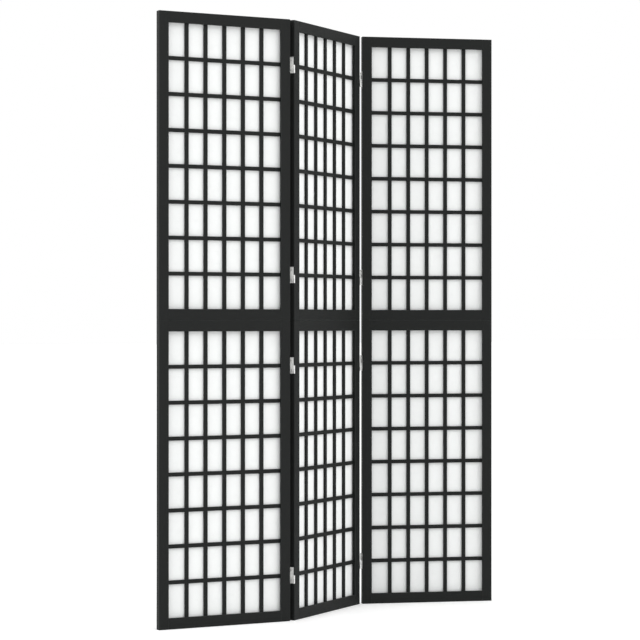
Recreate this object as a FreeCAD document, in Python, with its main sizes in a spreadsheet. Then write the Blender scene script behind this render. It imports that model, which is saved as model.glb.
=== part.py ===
import FreeCAD, Part
import math
import os
import Sketcher

# Shoji folding screen: three panels in a zigzag, each an upper and a lower half frame of stiles and
# rails round a half-lapped lattice with paper glued behind it. Double-action hinges join the panels.
#
# Every panel has its own frame: X along its width from its left edge, Y from its front face to its
# back face, Z up from the floor. The whole screen has its origin at the bottom centre of its box,
# with X along the line through the two outer ends.

SIZES = (
    # frame members
    ("panel_width", 400.0),
    ("panel_thickness", 20.0),
    ("half_height", 850.0),
    ("stile_width", 29.0),
    ("rail_height", 31.0),
    ("edge_bevel", 1.2),
    ("arris", 0.8),
    # double rebate on the inner side: the lattice drops in behind the lip, the paper behind that
    ("lip_thickness", 7.0),
    ("lattice_rebate", 5.0),
    ("paper_rebate", 10.0),
    ("rebate_fit", 0.2),
    # lattice
    ("bar_width", 11.0),
    ("bar_depth", 6.0),
    ("outer_column_extra", 5.2),
    ("outer_row_extra", 3.9),
    ("lap_fit", 0.05),
    ("paper_thickness", 0.3),
    ("paper_margin", 1.0),
    # corner joints, and the loose tongues that line up the two half frames
    ("tenon_height", 16.0),
    ("tenon_set_in", 4.0),
    ("tongue_length", 60.0),
    ("tongue_width", 8.0),
    ("tongue_thickness", 8.0),
    ("tongue_set_in", 3.0),
    ("tenon_to_tongue", 2.0),
    ("joint_fit", 0.1),
    ("joint_end_gap", 0.5),
    # double-action hinges
    ("hinge_height", 46.0),
    ("hinge_from_end", 128.0),
    ("plate_thickness", 1.0),
    ("plate_set_back", 3.0),
    ("pin_diameter", 1.9),
    ("pin_fit", 0.05),
    ("pin_proud", 0.3),
    ("barrel_wall", 1.0),
    ("barrel_to_wood", 0.3),
    ("knuckle_gap", 0.2),
)
COLUMNS = 6
ROWS = 8

# the small knuckles and their bores are drawn with flats, and the pins in them are round
KNUCKLE_SIDES = 8
BORE_SIDES = 12

# how the screen stands, in degrees: the middle panel's turn, and how far each hinge pin is folded
MIDDLE_TURN = 28.6
LEFT_FRONT_FOLD = 0.0
LEFT_BACK_FOLD = 34.6
RIGHT_FRONT_FOLD = 61.6
RIGHT_BACK_FOLD = 10.8

doc = FreeCAD.newDocument("shoji_screen")
sizes = doc.addObject("Spreadsheet::Sheet", "sizes")
for line, (alias, value) in enumerate(SIZES, start=1):
    sizes.set(f"A{line}", alias)
    sizes.set(f"B{line}", str(value))
    sizes.setAlias(f"B{line}", alias)
doc.recompute()

# sizes that follow from the driving ones
OPENING_WIDTH = "(sizes.panel_width - 2 * sizes.stile_width)"
OPENING_HEIGHT = "(sizes.half_height - 2 * sizes.rail_height)"
PAPER_DEPTH = "(sizes.lip_thickness + sizes.bar_depth)"
TONGUE_FRONT = "(sizes.panel_thickness / 2 - sizes.tongue_thickness / 2)"
TONGUE_END = "(sizes.tongue_set_in + sizes.tongue_width)"
TENON_LENGTH = f"(sizes.stile_width - sizes.lattice_rebate - {TONGUE_END} - sizes.tenon_to_tongue)"
LATTICE_OVERLAP = "(sizes.lattice_rebate - sizes.rebate_fit)"
BORE_CORNER = f"((sizes.pin_diameter / 2 + sizes.pin_fit) / {math.cos(math.pi / BORE_SIDES):.9f})"
BARREL_RADIUS = "(sizes.pin_diameter / 2 + sizes.pin_fit + sizes.barrel_wall)"
PIN_TO_WOOD = f"({BARREL_RADIUS} + sizes.barrel_to_wood)"
PIN_SPACING = "(sizes.panel_thickness + 2 * sizes.pin_proud)"
PLATE_FRONT = "(sizes.pin_proud + sizes.plate_set_back)"
PLATE_BACK = f"({PIN_SPACING} - {PLATE_FRONT})"
KNUCKLE = "(sizes.hinge_height / 4)"

made = {}


def number(expression):
    """The value that an expression over the sheet has now."""
    value = sizes.evalExpression(expression)
    return float(getattr(value, "Value", value))


def origin_item(body, role):
    return next(item for item in body.Origin.OriginFeatures if item.Role == role)


def new_sketch(body, name, plane, lift="0"):
    sketch = body.newObject("Sketcher::SketchObject", name)
    sketch.AttachmentSupport = [(origin_item(body, plane), "")]
    sketch.MapMode = "FlatFace"
    sketch.setExpression("AttachmentOffset.Base.z", lift)
    return sketch


def place_point(sketch, shape, position, corner):
    """Ties one point of a sketch's shape to a pair of expressions, measured from the origin."""
    for kind, expression in zip(("DistanceX", "DistanceY"), corner):
        rule = Sketcher.Constraint(kind, -1, 1, shape, position, number(expression))
        index = sketch.addConstraint(rule)
        sketch.setExpression(f"Constraints[{index}]", expression)


def outline(body, name, plane, corners, lift="0"):
    """A closed sketch of straight edges through the corners."""
    sketch = new_sketch(body, name, plane, lift)
    points = [FreeCAD.Vector(number(across), number(up), 0) for across, up in corners]
    count = len(points)
    for index in range(count):
        sketch.addGeometry(Part.LineSegment(points[index], points[(index + 1) % count]))
    for index in range(count):
        sketch.addConstraint(Sketcher.Constraint("Coincident", index, 2, (index + 1) % count, 1))
    for index, corner in enumerate(corners):
        place_point(sketch, index, 1, corner)
    return sketch


def rectangle(body, name, plane, low, high, lift="0"):
    corners = ((low[0], low[1]), (high[0], low[1]), (high[0], high[1]), (low[0], high[1]))
    return outline(body, name, plane, corners, lift)


def facets(body, name, centre, radius, sides, lift="0"):
    """A regular polygon seen from above, with a flat to each side, in place of a small circle."""
    corners = []
    for index in range(sides):
        turn = math.pi * (2 * index + 1) / sides
        across = f"{centre[0]} + {radius} * ({math.cos(turn):.9f})"
        up = f"{centre[1]} + {radius} * ({math.sin(turn):.9f})"
        corners.append((across, up))
    return outline(body, name, "XY_Plane", corners, lift)


def pad(body, name, sketch, length, reverse=False, both_ways=False):
    feature = body.newObject("PartDesign::Pad", name)
    feature.Profile = sketch
    feature.Reversed = reverse
    feature.Midplane = both_ways
    feature.setExpression("Length", length)
    doc.recompute()
    return feature


def pocket(body, name, sketch, length=None, reverse=False):
    """Cuts a sketch to a length, or right through both ways, and makes sure that it cut."""
    before = body.Shape.Volume
    feature = body.newObject("PartDesign::Pocket", name)
    feature.Profile = sketch
    feature.Reversed = reverse
    if length is None:
        feature.Type = "ThroughAll"
        feature.Midplane = True
    else:
        feature.setExpression("Length", length)
    doc.recompute()
    if body.Shape.Volume >= before:
        raise RuntimeError(f"{body.Label}: {name} cuts nothing")
    return feature


def repeat(body, name, feature, axis, pitch, count):
    """Repeats one feature along an axis of the body, a pitch apart."""
    pattern = body.newObject("PartDesign::LinearPattern", name)
    pattern.Originals = [feature]
    pattern.Direction = (origin_item(body, axis), [""])
    pattern.setExpression("Length", f"{pitch} * {count - 1}")
    pattern.Occurrences = count
    body.Tip = pattern
    doc.recompute()
    return pattern


def edges_where(shape, test):
    """Names of the straight edges whose two ends pass the test."""
    names = []
    for index, edge in enumerate(shape.Edges, start=1):
        ends = [vertex.Point for vertex in edge.Vertexes]
        if len(ends) == 2 and edge.Curve.TypeId == "Part::GeomLine" and test(*ends):
            names.append(f"Edge{index}")
    return names


def ease(body, name, size, test):
    """Bevels the edges that pass the test."""
    names = edges_where(body.Shape, test)
    if not names:
        raise RuntimeError(f"{body.Label}: {name} finds no edge")
    base = body.Tip
    feature = body.newObject("PartDesign::Chamfer", name)
    feature.Base = (base, names)
    feature.setExpression("Size", size)
    doc.recompute()
    if not feature.isValid():
        raise RuntimeError(f"{body.Label}: {name} did not build")
    return feature


def near(one, other):
    return abs(one - other) < 1e-4


def part(kind, label):
    """A new sub-part of the screen, listed under its label."""
    item = doc.addObject(kind, label)
    item.Label = label
    made[label] = item
    return item


# ---- frame -----------------------------------------------------------------------------------------


def stile(label, side, seam_at_top):
    """An upright of a half frame. Its outer face is at X = 0; side is 1 where the wood lies towards
    +X, on the left, and -1 on the right."""
    body = part("PartDesign::Body", label)

    def across(size):
        return f"{side} * ({size})"

    profile = (
        ("0", "0"),
        (across("sizes.stile_width"), "0"),
        (across("sizes.stile_width"), "sizes.lip_thickness"),
        (across("sizes.stile_width - sizes.lattice_rebate"), "sizes.lip_thickness"),
        (across("sizes.stile_width - sizes.lattice_rebate"), PAPER_DEPTH),
        (across("sizes.stile_width - sizes.paper_rebate"), PAPER_DEPTH),
        (across("sizes.stile_width - sizes.paper_rebate"), "sizes.panel_thickness"),
        ("0", "sizes.panel_thickness"),
    )
    pad(body, "length", outline(body, "section", "XY_Plane", profile), "sizes.half_height")

    thickness = number("sizes.panel_thickness")
    inner = number(across("sizes.stile_width"))

    def outer_arris(one, two):
        upright = near(one.x, two.x) and near(one.y, two.y)
        return upright and near(one.x, 0)

    ease(body, "outer_bevels", "sizes.edge_bevel", outer_arris)

    def outside(point):
        return near(point.x, 0) or near(point.y, 0) or near(point.y, thickness)

    def end_or_lip(one, two):
        round_end = near(one.z, two.z) and outside(one) and outside(two)
        lip = near(one.x, inner) and near(two.x, inner) and near(one.y, 0) and near(two.y, 0)
        return lip or round_end

    ease(body, "eased_arrises", "sizes.arris", end_or_lip)

    # mortises for the two rails, cut in from the shoulder behind the lip
    low = "(sizes.tenon_set_in - sizes.joint_fit)"
    high = "(sizes.tenon_set_in + sizes.tenon_height + sizes.joint_fit)"
    shoulder = across("sizes.stile_width - sizes.lattice_rebate")
    depth = f"{TENON_LENGTH} + sizes.joint_end_gap"
    for name, bottom, top in (
        ("bottom_mortise", low, high),
        ("top_mortise", f"sizes.half_height - {high}", f"sizes.half_height - {low}"),
    ):
        corners = (("sizes.lip_thickness", bottom), (PAPER_DEPTH, top))
        hole = rectangle(body, name + "_outline", "YZ_Plane", *corners, shoulder)
        pocket(body, name, hole, depth, reverse=side < 0)

    # slot for the tongue, in the end that meets the other half frame
    corners = (
        (across("sizes.tongue_set_in - sizes.joint_fit"), f"{TONGUE_FRONT} - sizes.joint_fit"),
        (
            across(f"{TONGUE_END} + sizes.joint_fit"),
            f"{TONGUE_FRONT} + sizes.tongue_thickness + sizes.joint_fit",
        ),
    )
    end = "sizes.half_height" if seam_at_top else "0"
    slot = rectangle(body, "slot_outline", "XY_Plane", *corners, end)
    depth = "sizes.tongue_length / 2 + sizes.joint_end_gap"
    pocket(body, "tongue_slot", slot, depth, reverse=not seam_at_top)
    return body


def rail(label, opening_side):
    """A cross member of a half frame, from stile to stile. X = 0 is the left stile's inner face and
    Z = 0 the outer edge; opening_side is 1 where the opening is above it and -1 where it is below."""
    body = part("PartDesign::Body", label)

    def up(size):
        return f"{opening_side} * ({size})"

    # seen from above, the ends reach behind the lips of the stiles in two steps
    left = ("0", "-sizes.lattice_rebate", "-sizes.paper_rebate")
    right = [f"{OPENING_WIDTH} - ({step})" for step in left]
    depths = ("0", "sizes.lip_thickness", PAPER_DEPTH, "sizes.panel_thickness")
    plan = []
    for step, end in enumerate(right):
        plan += [(end, depths[step]), (end, depths[step + 1])]
    for step in (2, 1, 0):
        plan += [(left[step], depths[step + 1]), (left[step], depths[step])]
    footprint = outline(body, "plan", "XY_Plane", plan)
    pad(body, "height", footprint, "sizes.rail_height", reverse=opening_side < 0)

    rebate = (
        (up("sizes.rail_height - sizes.lattice_rebate"), "sizes.lip_thickness"),
        (up("sizes.rail_height - sizes.paper_rebate"), PAPER_DEPTH),
    )
    clear = up("sizes.rail_height + 1")
    steps = (
        (rebate[0][1], clear),
        (rebate[0][1], rebate[0][0]),
        (rebate[1][1], rebate[0][0]),
        (rebate[1][1], rebate[1][0]),
        ("sizes.panel_thickness + 1", rebate[1][0]),
        ("sizes.panel_thickness + 1", clear),
    )
    pocket(body, "rebates", outline(body, "rebate_steps", "YZ_Plane", steps))

    thickness = number("sizes.panel_thickness")
    lip_edge = number(up("sizes.rail_height"))

    def long_arris(one, two):
        along = near(one.y, two.y) and near(one.z, two.z)
        on_front = near(one.y, 0) and (near(one.z, 0) or near(one.z, lip_edge))
        on_back = near(one.y, thickness) and near(one.z, 0)
        return along and (on_front or on_back)

    ease(body, "eased_arrises", "sizes.arris", long_arris)

    tenon = rectangle(
        body,
        "tenon_section",
        "YZ_Plane",
        ("sizes.lip_thickness + sizes.joint_fit", up("sizes.tenon_set_in")),
        (f"{PAPER_DEPTH} - sizes.joint_fit", up("sizes.tenon_set_in + sizes.tenon_height")),
        f"{OPENING_WIDTH} / 2",
    )
    length = f"{OPENING_WIDTH} + 2 * (sizes.lattice_rebate + {TENON_LENGTH})"
    pad(body, "tenons", tenon, length, both_ways=True)
    return body


# ---- lattice ---------------------------------------------------------------------------------------

# The bars are set out evenly about the middle of the opening, with the cells along its edges larger
# than the others by the two extras.


def bar_pitch(opening, extra, cells):
    return f"(({opening} + sizes.bar_width - 2 * {extra}) / {cells})"


COLUMN_PITCH = bar_pitch(OPENING_WIDTH, "sizes.outer_column_extra", COLUMNS)
ROW_PITCH = bar_pitch(OPENING_HEIGHT, "sizes.outer_row_extra", ROWS)
FIRST_COLUMN = f"({OPENING_WIDTH} / 2 - {COLUMN_PITCH} * {(COLUMNS - 2) / 2})"
FIRST_ROW = f"({OPENING_HEIGHT} / 2 - {ROW_PITCH} * {(ROWS - 2) / 2})"


def uprights(label):
    """The vertical bars: the front half of their depth runs on, the back half is lapped."""
    body = part("PartDesign::Body", label)
    foot = rectangle(
        body,
        "bar_section",
        "XY_Plane",
        (f"{FIRST_COLUMN} - sizes.bar_width / 2", "0"),
        (f"{FIRST_COLUMN} + sizes.bar_width / 2", "sizes.bar_depth"),
        f"-{LATTICE_OVERLAP}",
    )
    bar = pad(body, "bar", foot, f"{OPENING_HEIGHT} + 2 * {LATTICE_OVERLAP}")
    repeat(body, "bars", bar, "X_Axis", COLUMN_PITCH, COLUMNS - 1)
    notch = rectangle(
        body,
        "lap_section",
        "YZ_Plane",
        ("sizes.bar_depth / 2", f"{FIRST_ROW} - sizes.bar_width / 2 - sizes.lap_fit"),
        ("sizes.bar_depth + 1", f"{FIRST_ROW} + sizes.bar_width / 2 + sizes.lap_fit"),
    )
    lap = pocket(body, "lap", notch)
    repeat(body, "laps", lap, "Z_Axis", ROW_PITCH, ROWS - 1)
    return body


def crossbars(label):
    """The horizontal bars, lapped from the front to let the uprights in."""
    body = part("PartDesign::Body", label)
    end = rectangle(
        body,
        "bar_section",
        "YZ_Plane",
        ("0", f"{FIRST_ROW} - sizes.bar_width / 2"),
        ("sizes.bar_depth", f"{FIRST_ROW} + sizes.bar_width / 2"),
        f"-{LATTICE_OVERLAP}",
    )
    bar = pad(body, "bar", end, f"{OPENING_WIDTH} + 2 * {LATTICE_OVERLAP}")
    repeat(body, "bars", bar, "Z_Axis", ROW_PITCH, ROWS - 1)
    notch = rectangle(
        body,
        "lap_section",
        "XY_Plane",
        (f"{FIRST_COLUMN} - sizes.bar_width / 2 - sizes.lap_fit", "-1"),
        (f"{FIRST_COLUMN} + sizes.bar_width / 2 + sizes.lap_fit", "sizes.bar_depth / 2"),
    )
    lap = pocket(body, "lap", notch)
    repeat(body, "laps", lap, "X_Axis", COLUMN_PITCH, COLUMNS - 1)
    return body


def paper(label):
    """One sheet over the whole lattice, glued to the bars and to the ledge of the paper rebate."""
    sheet = part("Part::Box", label)
    reach = "2 * (sizes.paper_rebate - sizes.paper_margin)"
    sheet.setExpression("Length", f"{OPENING_WIDTH} + {reach}")
    sheet.setExpression("Width", "sizes.paper_thickness")
    sheet.setExpression("Height", f"{OPENING_HEIGHT} + {reach}")
    return sheet


def group(label, pieces):
    """Like pieces that stay separate solids under one name."""
    node = part("Part::Compound", label)
    node.Links = pieces
    return node


def tongues(label):
    """Two loose tongues across the seam between the half frames, one in each pair of stiles."""
    pieces = []
    far = f"sizes.panel_width - {TONGUE_END}"
    for name, across in (("left", "sizes.tongue_set_in"), ("right", far)):
        tongue = doc.addObject("Part::Box", f"{label}_{name}")
        tongue.setExpression("Length", "sizes.tongue_width")
        tongue.setExpression("Width", "sizes.tongue_thickness")
        tongue.setExpression("Height", "sizes.tongue_length")
        tongue.setExpression("Placement.Base.x", across)
        tongue.setExpression("Placement.Base.y", TONGUE_FRONT)
        tongue.setExpression("Placement.Base.z", "sizes.half_height - sizes.tongue_length / 2")
        pieces.append(tongue)
    return group(label, pieces)


# ---- double-action hinges --------------------------------------------------------------------------

# A hinge has its own frame: Z up from its foot along the front pin, Y towards the back pin, X along
# the panels. Each pin takes half of the height: the front one below, the back one above. A leaf is
# screwed to each panel's edge, and the link between the two leaves joins the pins. A quarter of the
# height is one knuckle: leaf, link, link, leaf from the foot up.


def barrel(body, name, pin_depth, foot):
    """A rolled knuckle with its bore round one pin, a quarter of the height less its end clearance."""
    centre = ("0", pin_depth)
    disc = facets(body, name + "_outline", centre, BARREL_RADIUS, KNUCKLE_SIDES, foot)
    pad(body, name, disc, f"{KNUCKLE} - sizes.knuckle_gap")
    hole = facets(body, name + "_bore_outline", centre, BORE_CORNER, BORE_SIDES)
    pocket(body, name + "_bore", hole)


def hinge_leaf(label, side, on_front_pin):
    """The plate on a panel's edge, with its knuckle. side is 1 where the panel lies towards +X from
    the pins. The plate is narrow except where it reaches out to its knuckle."""
    body = doc.addObject("PartDesign::Body", label)
    top = "sizes.hinge_height"
    if on_front_pin:
        pin_depth = "0"
        foot = "0"
        reach = f"({KNUCKLE} - sizes.knuckle_gap)"
        corners = (("0", "0"), (PLATE_BACK, "0"), (PLATE_BACK, top))
        corners += ((PLATE_FRONT, top), (PLATE_FRONT, reach), ("0", reach))
    else:
        pin_depth = PIN_SPACING
        foot = f"(3 * {KNUCKLE} + sizes.knuckle_gap)"
        corners = ((PLATE_FRONT, "0"), (PLATE_BACK, "0"), (PLATE_BACK, foot))
        corners += ((PIN_SPACING, foot), (PIN_SPACING, top), (PLATE_FRONT, top))
    inner = f"{side} * ({PIN_TO_WOOD} - sizes.plate_thickness)"
    plate = outline(body, "plate_outline", "YZ_Plane", corners, inner)
    pad(body, "plate", plate, "sizes.plate_thickness", reverse=side < 0)
    barrel(body, "knuckle", pin_depth, foot)
    return body


def hinge_link(label):
    """The plate between the two leaves, with a knuckle on each pin."""
    body = doc.addObject("PartDesign::Body", label)
    top = "sizes.hinge_height"
    middle = f"(2 * {KNUCKLE})"
    front_foot = f"({KNUCKLE} + sizes.knuckle_gap)"
    back_top = f"(3 * {KNUCKLE} - sizes.knuckle_gap)"
    corners = (
        ("0", front_foot),
        (PLATE_FRONT, front_foot),
        (PLATE_FRONT, "0"),
        (PLATE_BACK, "0"),
        (PLATE_BACK, middle),
        (PIN_SPACING, middle),
        (PIN_SPACING, back_top),
        (PLATE_BACK, back_top),
        (PLATE_BACK, top),
        (PLATE_FRONT, top),
        (PLATE_FRONT, middle),
        ("0", middle),
    )
    plate = outline(body, "plate_outline", "YZ_Plane", corners)
    pad(body, "plate", plate, "sizes.plate_thickness", both_ways=True)
    barrel(body, "front_knuckle", "0", front_foot)
    barrel(body, "back_knuckle", PIN_SPACING, middle)
    return body


HINGE_FEET = [
    f"{half} * sizes.half_height + {place} - sizes.hinge_height / 2"
    for half in (0, 1)
    for place in ("sizes.hinge_from_end", "sizes.half_height - sizes.hinge_from_end")
]


def hinge_leaf_group(label, side, on_front_pin, pin_across):
    """The leaves of a fold's four hinges on one panel. pin_across is where the pins are along it."""
    leaves = []
    for place, foot in enumerate(HINGE_FEET, start=1):
        leaf = hinge_leaf(f"{label}_{place}", side, on_front_pin)
        leaf.setExpression("Placement.Base.x", pin_across)
        leaf.setExpression("Placement.Base.y", FRONT_PIN)
        leaf.setExpression("Placement.Base.z", foot)
        leaves.append(leaf)
    return group(label, leaves)


def hinge_links(label):
    links = []
    for place, foot in enumerate(HINGE_FEET, start=1):
        link = hinge_link(f"{label}_{place}")
        link.setExpression("Placement.Base.z", foot)
        links.append(link)
    return group(label, links)


def hinge_pins(label):
    """Front and back pins of a fold's four hinges, in the frame of the links."""
    pieces = []
    for place, foot in enumerate(HINGE_FEET, start=1):
        for name, pin_depth, first in (("front", "0", 0), ("back", PIN_SPACING, 2)):
            pin = doc.addObject("Part::Cylinder", f"{label}_{name}_{place}")
            pin.setExpression("Radius", "sizes.pin_diameter / 2")
            pin.setExpression("Height", f"2 * {KNUCKLE}")
            pin.setExpression("Placement.Base.y", pin_depth)
            pin.setExpression("Placement.Base.z", f"{foot} + {first} * {KNUCKLE}")
            pieces.append(pin)
    return group(label, pieces)


# ---- putting the screen together -------------------------------------------------------------------


def turned(across, depth, angle):
    """A frame turned about the vertical, with its origin at a point of the floor plan."""
    turn = FreeCAD.Rotation(FreeCAD.Vector(0, 0, 1), angle)
    return FreeCAD.Placement(FreeCAD.Vector(across, depth, 0), turn)


def shifted(frame, across, depth, height="0"):
    """A frame moved along its own axes by expressions over the sheet."""
    offset = FreeCAD.Vector(number(across), number(depth), number(height))
    return frame.multiply(FreeCAD.Placement(offset, FreeCAD.Rotation()))


OVER_EDGE = f"sizes.panel_width + {PIN_TO_WOOD}"
BEFORE_EDGE = f"-{PIN_TO_WOOD}"
FRONT_PIN = "-sizes.pin_proud"
BACK_PIN = "(sizes.panel_thickness + sizes.pin_proud)"


def stand():
    """Where each body stands, worked out from the middle panel through the pins of both folds."""
    middle = turned(0, 0, MIDDLE_TURN)
    left_links = shifted(middle, BEFORE_EDGE, FRONT_PIN).multiply(turned(0, 0, LEFT_FRONT_FOLD))
    right_links = shifted(middle, OVER_EDGE, FRONT_PIN).multiply(turned(0, 0, -RIGHT_FRONT_FOLD))
    left = shifted(left_links, "0", PIN_SPACING).multiply(turned(0, 0, -LEFT_BACK_FOLD))
    right = shifted(right_links, "0", PIN_SPACING).multiply(turned(0, 0, RIGHT_BACK_FOLD))
    return {
        "left": shifted(left, f"-({OVER_EDGE})", f"-{BACK_PIN}"),
        "middle": middle,
        "right": shifted(right, PIN_TO_WOOD, f"-{BACK_PIN}"),
        "left_links": left_links,
        "right_links": right_links,
    }


frames = stand()


def carry(node, frame_name, across="0", depth="0", height="0"):
    node.Placement = shifted(frames[frame_name], across, depth, height)


for panel in ("left", "middle", "right"):
    for half, floor in (("lower", "0"), ("upper", "sizes.half_height")):
        name = f"{panel}_{half}"
        on_lower = half == "lower"
        carry(stile(f"{name}_left_stile", 1, on_lower), panel, "0", "0", floor)
        carry(stile(f"{name}_right_stile", -1, on_lower), panel, "sizes.panel_width", "0", floor)
        carry(rail(f"{name}_bottom_rail", 1), panel, "sizes.stile_width", "0", floor)
        carry(rail(f"{name}_top_rail", -1), panel, "sizes.stile_width", "0", f"{floor} + sizes.half_height")
        opening = ("sizes.stile_width", "sizes.lip_thickness", f"{floor} + sizes.rail_height")
        carry(uprights(f"{name}_lattice_uprights"), panel, *opening)
        carry(crossbars(f"{name}_lattice_crossbars"), panel, *opening)
        reach = "(sizes.paper_rebate - sizes.paper_margin)"
        corner = (f"sizes.stile_width - {reach}", PAPER_DEPTH, f"{floor} + sizes.rail_height - {reach}")
        carry(paper(f"{name}_paper"), panel, *corner)
    carry(tongues(f"{panel}_seam_tongues"), panel)

for fold, middle_side, middle_pin, outer_pin in (
    ("left", 1, BEFORE_EDGE, OVER_EDGE),
    ("right", -1, OVER_EDGE, BEFORE_EDGE),
):
    for name, frame_name, side, on_front_pin, pin_across in (
        (f"{fold}_hinge_middle_leaves", "middle", middle_side, True, middle_pin),
        (f"{fold}_hinge_outer_leaves", fold, -middle_side, False, outer_pin),
    ):
        leaves = hinge_leaf_group(name, side, on_front_pin, pin_across)
        carry(leaves, frame_name)
    carry(hinge_links(f"{fold}_hinge_links"), f"{fold}_links")
    carry(hinge_pins(f"{fold}_hinge_pins"), f"{fold}_links")

doc.recompute()

# ---- origin at the bottom centre of the whole box ---------------------------------------------------

whole = FreeCAD.BoundBox()
for node in made.values():
    whole.add(node.Shape.BoundBox)
to_centre = FreeCAD.Vector(-whole.Center.x, -whole.Center.y, -whole.ZMin)
for node in made.values():
    node.Placement.Base = node.Placement.Base.add(to_centre)
doc.recompute()

for item in doc.Objects:
    if "Invalid" in item.State or "Error" in item.State:
        raise RuntimeError(f"{item.Label} did not build: {item.State}")
for label, node in made.items():
    if node.Shape.isNull() or not node.Shape.isValid():
        raise RuntimeError(f"{label} has no valid shape")

os.makedirs("parts", exist_ok=True)
for label, node in made.items():
    node.Shape.exportStep(f"parts/{label}.step")

for frame_name, frame in frames.items():
    point = frame.Base.add(to_centre)
    print(f"{frame_name}: origin {point.x:.4f} {point.y:.4f}, turn {frame.Rotation.getYawPitchRoll()[0]:.3f}")
    if frame_name.endswith("_links"):
        back = shifted(frame, "0", PIN_SPACING).Base.add(to_centre)
        print(f"  back pin {back.x:.4f} {back.y:.4f}")
print(f"{len(made)} sub-parts, box {whole.XLength:.2f} x {whole.YLength:.2f} x {whole.ZLength:.2f}")
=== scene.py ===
"""A shoji folding screen: three black-stained panels in a zigzag, with papered lattices and
double-action hinges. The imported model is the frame, and every piece here is made to lie in it."""

import math
import random

import bmesh
import bpy
from bpy.props import FloatProperty, FloatVectorProperty, IntProperty, PointerProperty
from mathutils import Matrix, Vector


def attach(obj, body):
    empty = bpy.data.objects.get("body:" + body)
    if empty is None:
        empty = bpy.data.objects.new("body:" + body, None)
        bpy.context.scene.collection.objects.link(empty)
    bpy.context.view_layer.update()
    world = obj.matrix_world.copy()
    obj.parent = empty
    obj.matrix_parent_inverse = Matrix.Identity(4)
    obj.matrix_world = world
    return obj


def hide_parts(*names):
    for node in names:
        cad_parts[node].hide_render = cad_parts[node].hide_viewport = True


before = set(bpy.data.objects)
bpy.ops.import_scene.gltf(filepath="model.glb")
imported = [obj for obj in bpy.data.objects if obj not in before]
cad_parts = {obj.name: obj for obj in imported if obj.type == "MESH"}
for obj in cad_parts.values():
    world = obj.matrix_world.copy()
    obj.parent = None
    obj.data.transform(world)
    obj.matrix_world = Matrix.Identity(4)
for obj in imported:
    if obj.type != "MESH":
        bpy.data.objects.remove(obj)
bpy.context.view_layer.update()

bl_info = {
    "name": "Shoji folding screen",
    "version": (1, 0, 0),
    "blender": (4, 5, 0),
    "location": "3D View > Sidebar > Screen",
    "description": "Wood, paper and hinges of a folding screen, and the studio that it stands in",
    "category": "Object",
}

# where the CAD model stands each panel and each row of hinge links: the foot of its own frame on
# the floor, in metres, and its turn in degrees. X runs along the panel and Y from front to back.
PANELS = {
    "left": ((-0.5752835, -0.0655339), -6.0),
    "middle": ((-0.1613286, -0.1041189), 28.6),
    "right": ((0.1977064, 0.0858078), -22.2),
}
LINKS = {
    "left": ((-0.1632044, -0.1054833), 28.6),
    "right": ((0.1920275, 0.0881954), -33.0),
}
HALVES = ("lower", "upper")

# sizes of the CAD model that the pieces here share, in metres
PANEL_WIDTH = 0.4
HALF_HEIGHT = 0.85
STILE_WIDTH = 0.029
REBATE = 0.005  # how far the lattice's rebate goes out from the opening
HINGE_FROM_END = 0.128  # from an end of a half to the middle of its hinge
PIN_TO_WOOD = 0.0023
PIN_PROUD = 0.0003  # how far the front pins' line stands before the panels' faces
PIN_SPACING = 0.0206

# for joining the CAD model's triangles, and for finding the edges that a plane would ease
WELD = 1e-6
FLAT = math.radians(0.5)
SHARP = math.radians(15)
LONG_EDGE = 0.02

# how fine the patterns of the finishes are, in steps to the metre: the wood's along its grain and
# twice across it, the paper's in its own plane, and the plating's along X, Y and Z
FIBRES = (11.0, 900.0, 900.0)
FLECKS = (45.0, 1900.0, 1900.0)
DRIFT = (1.6, 26.0, 26.0)
CLOUDS = (38.0, 38.0, 38.0)
TOOTH = (1400.0, 1400.0, 1400.0)
BRUSHING = (5200.0, 5200.0, 130.0)
MARKS = (260.0, 260.0, 180.0)

RINGS = 1500.0  # growth rings across the grain, in radians to the metre
RINGS_WANDER = 34.0  # how far they wander, in radians
GRAIN_APART = 9  # how far off a bar's own stretch of the pattern may lie, in metres
EDGE_HIGHLIGHT = 3.2  # how much lighter the painted highlight makes the stain along the eased edges
BAR_SHADE = 0.94  # the bars' stain beside the frames'

# the paper's long fibres: how each kind is turned, in degrees, and its steps along and across
STRANDS = ((12, 34.0, 430.0), (74, 26.0, 300.0), (129, 44.0, 520.0))
CURLS = 26.0  # how often they curl, in steps to the metre
CURL_REACH = 0.034  # and how far, in metres
LIP_SHADE = 0.55  # painted shade on the paper over the rebate, where the wood stands further off: the recess's shade
LEAST_SLACK = 0.55  # the tightest cell's slack, as a share of the loosest one's
FULLNESS = 0.6  # below 1, the paper leaves the bars steeply and is flatter in mid-cell
MORE_ROWS = 2  # a cell is taller than it is wide

PLATE_EASE = 0.12  # the rounding of a plate's edges, as a share of its thickness
SEAT_PLAY = 0.0001  # round a screw's head in its leaf
ACCESS_PLAY = 0.0003  # round it in the link, so that a driver gets through
BORE_WALL = 0.0003  # from a knuckle's bore to the link's plate, which ends inside its wall
DOME = ((0.0, 0.0), (0.55, 0.25), (0.88, 0.7), (1.0, 1.4))  # a pin's end, outwards and up
DOME_HEIGHT = 0.25  # of that, as a share of the pin's radius
TURNED = 0.8  # the roughness of pins and screws beside the plates'
SCREW_SHADE = 0.8  # the screws' plating beside the plates'
SLANT_SEED = 7  # each screw stopped at its own angle

# a screw: shares of its head's radius, then of its recess's depth, then of its own length
CROSS_ARM, CROSS_WIDTH, CONE_WIDTH = 0.66, 0.17, 0.9
HEAD_EASE, CONE_TOP, CONE_RIM, CONE_FOOT = 0.14, 0.9, 1.1, 1.8
POINT_FROM = 0.8

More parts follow.
